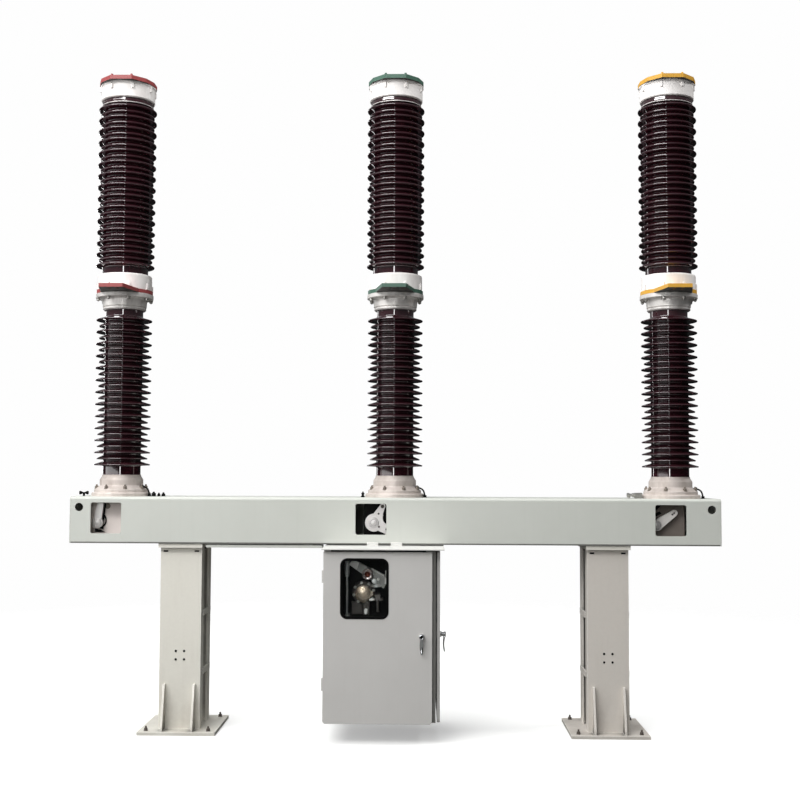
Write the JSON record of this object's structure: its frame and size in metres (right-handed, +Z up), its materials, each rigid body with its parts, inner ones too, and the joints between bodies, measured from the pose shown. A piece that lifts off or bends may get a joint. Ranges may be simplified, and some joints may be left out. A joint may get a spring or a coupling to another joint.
{
  "type": "outdoor gas circuit breaker",
  "caption": "Porcelain-clad outdoor gas circuit breaker: pole columns on a common box beam and steel legs, with a drive cabinet whose doors open below.",
  "frame": {"origin": "on the ground under the middle pole, midway between the two feet", "axes": "+Z up along the poles, +X to the right as seen from the cabinet's door, +Y away from the door"},
  "size_m": [3.92, 0.748, 4.024],
  "materials": {
    "beam_paint": "satin grey-green enamel",
    "cabinet_paint": "satin grey enamel",
    "galvanised_steel": "hot-dip zinc, dull",
    "porcelain_glaze": "glossy brown glaze",
    "cast_aluminium": "sand cast, satin",
    "phase_red": "phase paint, faded",
    "phase_green": "phase paint",
    "phase_yellow": "phase paint",
    "machined_steel": "machined, oiled",
    "black_paint": "matt black",
    "black_rubber": "matt",
    "window_glass": "clear",
    "handle_chrome": "polished",
    "passivated_steel": "yellow passivated zinc"
  },
  "bodies": {
    "breaker": {"left_leg": "galvanised_steel", "right_leg": "galvanised_steel", "left_foot": "galvanised_steel", "right_foot": "galvanised_steel", "left_head_plate": "galvanised_steel", "right_head_plate": "galvanised_steel", "beam_front_panels": "beam_paint", "beam_window_strips": "beam_paint", "beam_rear_plate": "beam_paint", "beam_top_plate": "beam_paint", "beam_bottom_plate": "beam_paint", "beam_end_plates": "beam_paint", "left_pole_base": "cast_aluminium", "middle_pole_base": "cast_aluminium", "right_pole_base": "cast_aluminium", "left_support_porcelain": "porcelain_glaze", "middle_support_porcelain": "porcelain_glaze", "right_support_porcelain": "porcelain_glaze", "left_support_cap": "cast_aluminium", "middle_support_cap": "cast_aluminium", "right_support_cap": "cast_aluminium", "left_line_terminal": "phase_red", "middle_line_terminal": "phase_green", "right_line_terminal": "phase_yellow", "left_interrupter_base": "cast_aluminium", "middle_interrupter_base": "cast_aluminium", "right_interrupter_base": "cast_aluminium", "left_interrupter_porcelain": "porcelain_glaze", "middle_interrupter_porcelain": "porcelain_glaze", "right_interrupter_porcelain": "porcelain_glaze", "left_top_cap": "cast_aluminium", "middle_top_cap": "cast_aluminium", "right_top_cap": "cast_aluminium", "left_top_terminal": "phase_red", "middle_top_terminal": "phase_green", "right_top_terminal": "phase_yellow", "left_crank_housing": "black_paint", "middle_crank_housing": "black_paint", "right_crank_housing": "black_paint", "cabinet_left_wall": "cabinet_paint", "cabinet_back_wall": "cabinet_paint", "cabinet_floor": "cabinet_paint", "cabinet_roof": "cabinet_paint", "cabinet_right_post": "cabinet_paint", "hanger_rails": "galvanised_steel", "wiring_duct": "beam_paint", "mechanism_plate": "black_paint", "rocker_arm": "machined_steel", "cam_disc": "passivated_steel", "drive_rod": "machined_steel", "latch_bracket": "machined_steel"},
    "front_door": {"front_door": "cabinet_paint", "door_glass": "window_glass", "window_gasket": "black_rubber"},
    "front_handle": {"front_handle": "handle_chrome"},
    "side_door": {"side_door": "cabinet_paint"},
    "side_handle": {"side_handle": "handle_chrome"},
    "left_crank": {"left_crank": "machined_steel"},
    "middle_crank": {"middle_crank": "machined_steel"},
    "right_crank": {"right_crank": "machined_steel"}
  },
  "joints": [
    {"name": "front_door_hinge", "type": "hinge", "parent": "breaker", "child": "front_door", "pos_m": [-0.4065, -0.407, 0.62], "axis": [0, 0, -1], "range_deg": [0, 110]},
    {"name": "front_handle_turn", "type": "hinge", "parent": "front_door", "child": "front_handle", "pos_m": [0.17, -0.45, 0.62], "axis": [0, 1, 0], "range_deg": [0, 90]},
    {"name": "side_door_hinge", "type": "hinge", "parent": "breaker", "child": "side_door", "pos_m": [0.254, 0.2365, 0.62], "axis": [0, 0, 1], "range_deg": [0, 110]},
    {"name": "side_handle_turn", "type": "hinge", "parent": "side_door", "child": "side_handle", "pos_m": [0.277, -0.337, 0.62], "axis": [1, 0, 0], "range_deg": [0, 90]},
    {"name": "middle_crank_turn", "type": "hinge", "parent": "breaker", "child": "middle_crank", "pos_m": [-0.122, -0.138, 1.258], "axis": [0, 1, 0], "range_deg": [0, 50]},
    {"name": "left_crank_turn", "type": "hinge", "parent": "breaker", "child": "left_crank", "pos_m": [-1.811, -0.138, 1.251], "axis": [0, 1, 0], "range_deg": [0, 50]},
    {"name": "right_crank_turn", "type": "hinge", "parent": "breaker", "child": "right_crank", "pos_m": [1.589, -0.138, 1.251], "axis": [0, 1, 0], "range_deg": [0, 50]}
  ],
  "couplings": [
    {"joint": "left_crank_turn", "follows": "middle_crank_turn", "ratio": 1},
    {"joint": "right_crank_turn", "follows": "middle_crank_turn", "ratio": 1}
  ]
}
